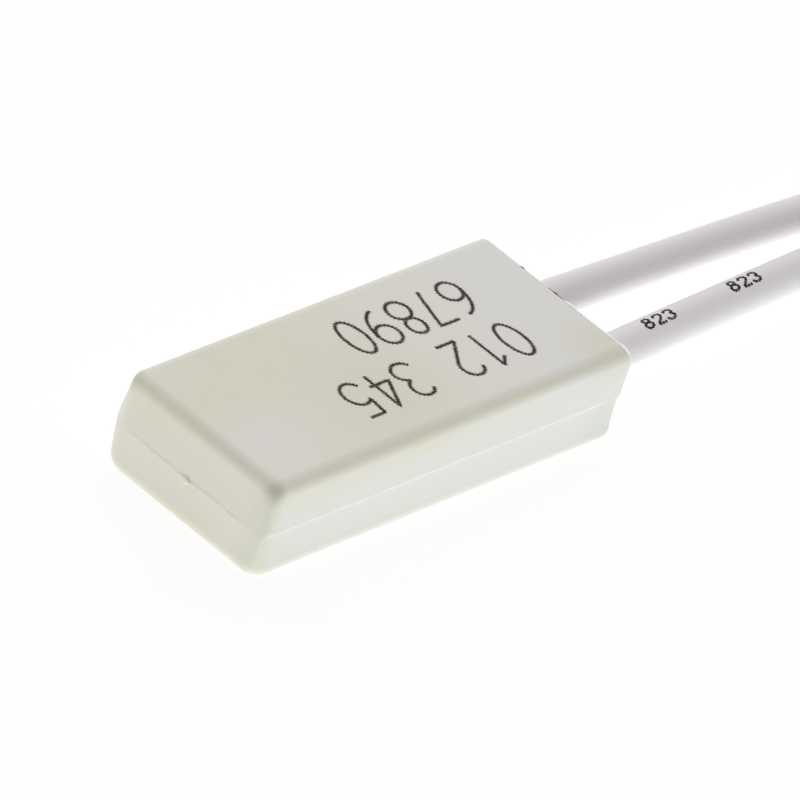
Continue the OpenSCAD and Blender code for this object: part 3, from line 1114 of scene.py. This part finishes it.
def digit_strokes():
    """The strokes of each digit."""
    six = arc((1.0, 0.56), (1.0, 1.44), 100, 180) + arc((0.5, 0.56), (0.5, 0.56), 180, -180)
    return {
        "0": [arc((0.5, 1.0), (0.5, 1.0), 90, 450, 32)],
        "1": [[(0.2, 1.55), (0.6, 2.0), (0.6, 0.0)]],
        "2": [arc((0.5, 1.46), (0.48, 0.54), 165, -38) + [(0.02, 0.0), (1.0, 0.0)]],
        "3": [arc((0.45, 1.5), (0.47, 0.5), 155, -75) + arc((0.45, 0.51), (0.53, 0.51), 75, -155)],
        "4": [[(1.0, 0.6), (0.0, 0.6), (0.72, 2.0), (0.72, 0.0)]],
        "5": [[(0.92, 2.0), (0.16, 2.0), (0.08, 1.1)] + arc((0.45, 0.65), (0.53, 0.65), 132, -150)],
        "6": [six],
        "7": [[(0.0, 2.0), (1.0, 2.0), (0.35, 0.0)]],
        "8": [arc((0.5, 1.53), (0.4, 0.47), -90, 270, 28), arc((0.5, 0.53), (0.5, 0.53), 90, 450, 28)],
        "9": [[(1.0 - across, 2.0 - up) for across, up in six]],
        " ": [],
    }


def even_points(stroke, step):
    """Points at an even step along a stroke, its two ends included."""
    corners = [Vector(point) for point in stroke]
    total = sum((after - before).length for before, after in zip(corners, corners[1:]))
    count = max(1, round(total / step))
    points = [corners[0]]
    walked = 0.0
    for before, after in zip(corners, corners[1:]):
        span = (after - before).length
        while len(points) <= count and len(points) * total / count <= walked + span + TINY:
            points.append(before.lerp(after, (len(points) * total / count - walked) / max(span, TINY)))
        walked += span
    return points


def row_strokes(row, step):
    """Each stroke of a row of digits: its digit's place in the row and its even points."""
    shapes = digit_strokes()
    strokes = []
    for place, digit in enumerate(row):
        strokes.extend((place, even_points(stroke, step)) for stroke in shapes[digit])
    return strokes


class FUSE_OT_add_print(bpy.types.Operator):
    """Print two rows of plain digits on the upper face of the case"""

    bl_idname = "fuse.add_print"
    bl_label = "Case print"

    # Where each row starts along X and stands along Y, in millimetres
    ROW_STARTS = {"first_row": (6.7, -0.45), "second_row": (6.55, 2.62)}
    DROP_STEP = 0.05 * MM
    DROP_SHARE = 0.78
    DROP_BEAT = 0.3
    DROP_TURN = 2.1
    DROP_RAGGED = 0.12
    DROP_STRAY = 0.018 * MM
    INK_FLAT = 0.1
    BLEED_FLAT = 0.02

    def execute(self, context):
        case, _, sizes, finishes = settings()
        strokes = []
        for row, (start, base) in self.ROW_STARTS.items():
            corner = Vector((start * MM, base * MM, 0.0))
            strokes.extend(self.inked_row(getattr(sizes, row), corner, sizes))
        layers = (
            ("case_print", sizes.stroke, self.INK_FLAT, print_ink(finishes)),
            ("print_bleed", sizes.bleed, self.BLEED_FLAT, bled_ink(finishes)),
        )
        on_top = Matrix.Translation((0.0, 0.0, case.height))
        for name, width, flat, ink in layers:
            mesh = tube_mesh(name, strokes, width / 2, 1)
            mesh.transform(on_top @ Matrix.Diagonal((1.0, 1.0, flat, 1.0)))
            add_piece(name, mesh, ink)
        return {"FINISHED"}

    def inked_row(self, row, corner, sizes):
        """The strokes of one row, as drops of ink that read towards the closed end."""
        scale = sizes.digit_height / 2
        strokes = []
        for digit, points in row_strokes(row, self.DROP_STEP / scale):
            inked = []
            for count, point in enumerate(points):
                place = corner - Vector((digit * sizes.digit_pitch + point.x * scale, point.y * scale, 0.0))
                beat = self.DROP_BEAT * math.cos(count * self.DROP_TURN)
                drop = self.DROP_SHARE + beat + self.DROP_RAGGED * noise.noise(place * DROP_NOISE)
                inked.append((place + self.stray(place), drop))
            strokes.append(inked)
        return strokes

    def stray(self, place):
        """How far a drop of ink lands from its place."""
        along = noise.noise(place * STRAY_NOISE + Vector((0.0, 0.0, 5.5)))
        across = noise.noise(place * STRAY_NOISE + Vector((0.0, 0.0, 9.5)))
        return Vector((along, across, 0.0)) * self.DROP_STRAY


class FUSE_OT_add_lead_marks(bpy.types.Operator):
    """Print plain dotted digits along the right lead"""

    bl_idname = "fuse.add_lead_marks"
    bl_label = "Lead marks"

    # Where each group of digits starts along X, in millimetres, and how far round the lead it stands
    MARK_STARTS = (13.95, 19.2)
    MARK_TURN = math.radians(88.0)
    DOT_STEP = 0.1 * MM
    DOT_FOOT = 0.074 * MM
    DOT_TOP = 0.066 * MM
    DOT_HEIGHT = 0.016 * MM
    DOT_FACETS = 10

    def execute(self, context):
        _, leads, sizes, _ = settings()
        line = lead_line(lead_knots("right", leads))
        scale = sizes.lead_height / 2
        bm = bmesh.new()
        for start in self.MARK_STARTS:
            for digit, points in row_strokes(sizes.lead_row, self.DOT_STEP / scale):
                for point in points:
                    along = start * MM + digit * sizes.lead_pitch + point.x * sizes.lead_width
                    self.add_dot(bm, line, leads.diameter / 2, along, (point.y - 1.0) * scale)
        bmesh.ops.recalc_face_normals(bm, faces=bm.faces)
        ink = bpy.data.materials["print_ink"]
        add_piece("lead_marks", mesh_from(bm, "lead_marks"), ink)
        return {"FINISHED"}

    def add_dot(self, bm, line, radius, along, up):
        """One flat dot of ink on the lead's upper side, its height measured round the lead."""
        middle = min(line, key=lambda point: abs(point.x - along))
        turn = self.MARK_TURN + up / radius
        outward = Vector((0.0, -math.cos(turn), math.sin(turn)))
        place = Vector((along, middle.y, middle.z)) + outward * radius
        rotation = outward.to_track_quat("Z", "Y").to_matrix().to_4x4()
        bmesh.ops.create_cone(
            bm,
            cap_ends=True,
            segments=self.DOT_FACETS,
            radius1=self.DOT_FOOT,
            radius2=self.DOT_TOP,
            depth=self.DOT_HEIGHT,
            matrix=Matrix.Translation(place) @ rotation,
        )


class FUSE_OT_finish_inner_parts(bpy.types.Operator):
    """Give the crimped terminals, the link and its flux their finishes"""

    bl_idname = "fuse.finish_inner_parts"
    bl_label = "Inner parts"

    def execute(self, context):
        finishes = settings()[3]
        brass = metal("terminal_brass", finishes.brass, 0.85, (0.3, 0.45))
        alloy = metal("fuse_alloy", finishes.alloy, 0.75, (0.35, 0.55))
        rosin = rosin_flux(finishes)
        dressed = {"left_terminal": brass, "right_terminal": brass, "fusible_link": alloy, "flux": rosin}
        for node, material in dressed.items():
            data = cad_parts[node].data
            data.materials.clear()
            data.materials.append(material)
        return {"FINISHED"}


class FUSE_OT_set_stage(bpy.types.Operator):
    """Set the floor, the soft light and the camera"""

    bl_idname = "fuse.set_stage"
    bl_label = "Stage"

    # The table as it is seen
    FLOOR_SPAN = 6.0
    FLOOR_GAP = 0.01 * MM
    FLOOR_SEEN = 1.08
    FLOOR_PAPER = 0.22
    PAPER = (0.9, 0.9, 0.9, 1.0)

    # The table's glow, from beside the closed end to beside the right wall, less behind the object
    GLOW_LEVELS = (0.78, 1.06)
    END_TINT = (0.99, 1.0, 0.97)
    SIDE_TINT = (0.96, 1.0, 0.98)
    GLOW_TURN = (0.7071, -0.7071, 0.0)
    GLOW_REACH = (-9 * MM, 1 * MM)
    BACK_ACROSS = (-1 * MM, 6 * MM)
    BACK_ALONG = (-12 * MM, -6 * MM)
    BACK_GLOW = 0.1
    CONTACT_LEVEL = 0.8
    CONTACT_REACH = 8 * MM

    # The light round the object, weak in front and strong behind
    SKY_LEVELS = (0.145, 1.28)
    SKY_TINT = (1.0, 0.992, 0.992, 1.0)
    SKY_SPREAD = (0.2, 0.95)
    BEHIND = Vector((0.37, 0.39, 0.85)).normalized()

    def execute(self, context):
        self.add_camera(context.scene)
        self.add_floor()
        self.add_world(context.scene)
        context.scene.view_settings.view_transform = "Standard"
        return {"FINISHED"}

    def add_camera(self, scene):
        """The photograph's camera."""
        data = bpy.data.cameras.new("camera")
        data.lens = VIEW_LENS
        data.sensor_width = VIEW_SENSOR
        data.clip_start = VIEW_NEAR
        data.clip_end = VIEW_FAR
        level = Vector((math.cos(VIEW_AZIMUTH), math.sin(VIEW_AZIMUTH), 0.0))
        away = Vector((math.sin(VIEW_AZIMUTH), -math.cos(VIEW_AZIMUTH), 0.0))
        back = math.cos(VIEW_ELEVATION) * away + Vector((0.0, 0.0, math.sin(VIEW_ELEVATION)))
        right = math.cos(VIEW_ROLL) * level + math.sin(VIEW_ROLL) * back.cross(level)
        turn = Matrix((right, back.cross(right), back)).transposed()
        camera = bpy.data.objects.new("camera", data)
        camera.matrix_world = Matrix.Translation(VIEW_PLACE) @ turn.to_4x4()
        bpy.context.collection.objects.link(camera)
        scene.camera = camera

    def add_floor(self):
        """A flat table just under the object."""
        bm = bmesh.new()
        bmesh.ops.create_grid(bm, x_segments=4, y_segments=4, size=self.FLOOR_SPAN / 2)
        bmesh.ops.translate(bm, vec=(0.0, 0.0, CAD_BOX[0].z - self.FLOOR_GAP), verts=bm.verts)
        mesh = bpy.data.meshes.new("floor")
        bm.to_mesh(mesh)
        bm.free()
        mesh.materials.append(self.white_table())
        floor = bpy.data.objects.new("floor", mesh)
        bpy.context.collection.objects.link(floor)

    def white_table(self):
        """A white lit table: it glows softly from below and still shows a shadow."""
        material = bpy.data.materials.new("white_table")
        material.use_nodes = True
        tree = material.node_tree
        tree.nodes.clear()
        slant = vector_maths(tree, "DOT_PRODUCT", object_place(tree), self.GLOW_TURN)
        aside = remap(tree, slant, self.GLOW_REACH, RISING)
        open_glow = remap(tree, aside, RISING, self.GLOW_LEVELS)
        strength = product(tree, open_glow, self.contact_shade(tree), self.front_share(tree))
        glow = add_node(tree, "Emission", mix_colours(tree, aside, self.END_TINT, self.SIDE_TINT), strength)
        shown = add_node(tree, "Emission", Strength=self.FLOOR_SEEN)
        paper = add_node(tree, "BsdfDiffuse", self.PAPER)
        bounce = add_node(tree, "AddShader", glow.outputs[0], paper.outputs[0])
        table = add_node(tree, "MixShader", self.FLOOR_PAPER, shown.outputs[0], paper.outputs[0])
        choose = add_node(tree, "MixShader", self.seen_ray(tree), bounce.outputs[0], table.outputs[0])
        add_node(tree, "OutputMaterial", choose.outputs[0])
        return material

    def seen_ray(self, tree):
        """One for rays that carry the background: straight, mirrored or let through."""
        rays = add_node(tree, "LightPath").outputs
        straight = maths(tree, "MAXIMUM", rays["Is Camera Ray"], rays["Is Glossy Ray"])
        return maths(tree, "MAXIMUM", straight, rays["Is Transmission Ray"])

    def front_share(self, tree):
        """One where the table faces the closed end and the right wall, little behind the object."""
        across = remap(tree, object_axis(tree, "Y"), self.BACK_ACROSS, RISING)
        along = remap(tree, object_axis(tree, "X"), self.BACK_ALONG, RISING)
        return remap(tree, product(tree, across, along), RISING, (1.0, self.BACK_GLOW))

    def contact_shade(self, tree):
        """One on the open table, less beside the case, where the case hides the light from the table."""
        outside = vector_maths(tree, "ABSOLUTE", object_place(tree))
        outside = vector_maths(tree, "SUBTRACT", outside, (CASE_HIGH.x, CASE_HIGH.y, 0.0))
        outside = vector_maths(tree, "MAXIMUM", outside, (0.0, 0.0, 0.0))
        gap = vector_maths(tree, "LENGTH", outside)
        return remap(tree, gap, (0.0, self.CONTACT_REACH), (self.CONTACT_LEVEL, 1.0))

    def add_world(self, scene):
        """Soft light from all round, stronger from behind the object, with a white background."""
        world = bpy.data.worlds.new("soft_tent")
        world.use_nodes = True
        scene.world = world
        tree = world.node_tree
        tree.nodes.clear()
        direction = add_node(tree, "TexCoord").outputs["Generated"]
        towards = vector_maths(tree, "DOT_PRODUCT", direction, self.BEHIND)
        level = remap(tree, towards, self.SKY_SPREAD, self.SKY_LEVELS)
        light = add_node(tree, "Background", self.SKY_TINT, level)
        white = add_node(tree, "Background", (1.0, 1.0, 1.0, 1.0), 1.0)
        choose = add_node(tree, "MixShader", self.seen_ray(tree), light.outputs[0], white.outputs[0])
        add_node(tree, "OutputWorld", choose.outputs[0])


class FUSE_PT_sidebar(bpy.types.Panel):
    """The fuse's pieces, in the order they are built"""

    bl_idname = "FUSE_PT_sidebar"
    bl_label = "Thermal Fuse"
    bl_space_type = "VIEW_3D"
    bl_region_type = "UI"
    bl_category = "Thermal Fuse"

    def draw(self, context):
        for operator in OPERATORS:
            self.layout.operator(operator.bl_idname)


GROUPS = {
    "fuse_case": FuseCaseSizes,
    "fuse_leads": FuseLeadSizes,
    "fuse_print": FusePrintSizes,
    "fuse_finishes": FuseFinishes,
}
OPERATORS = (
    FUSE_OT_set_stage,
    FUSE_OT_add_leads,
    FUSE_OT_add_case,
    FUSE_OT_add_resin,
    FUSE_OT_add_print,
    FUSE_OT_add_lead_marks,
    FUSE_OT_finish_inner_parts,
)


def register():
    """Registers the property groups, the operators and the panel."""
    for name, group in GROUPS.items():
        bpy.utils.register_class(group)
        setattr(bpy.types.Scene, name, PointerProperty(type=group))
    for operator in OPERATORS:
        bpy.utils.register_class(operator)
    bpy.utils.register_class(FUSE_PT_sidebar)


def unregister():
    """Takes everything out again, in the other order."""
    bpy.utils.unregister_class(FUSE_PT_sidebar)
    for operator in reversed(OPERATORS):
        bpy.utils.unregister_class(operator)
    for name, group in reversed(GROUPS.items()):
        delattr(bpy.types.Scene, name)
        bpy.utils.unregister_class(group)


def main():
    """Builds the fuse."""
    register()
    bpy.ops.fuse.set_stage()
    bpy.ops.fuse.add_leads()
    bpy.ops.fuse.add_case()
    bpy.ops.fuse.add_resin()
    bpy.ops.fuse.add_print()
    bpy.ops.fuse.add_lead_marks()
    bpy.ops.fuse.finish_inner_parts()


if __name__ == "__main__":
    main()
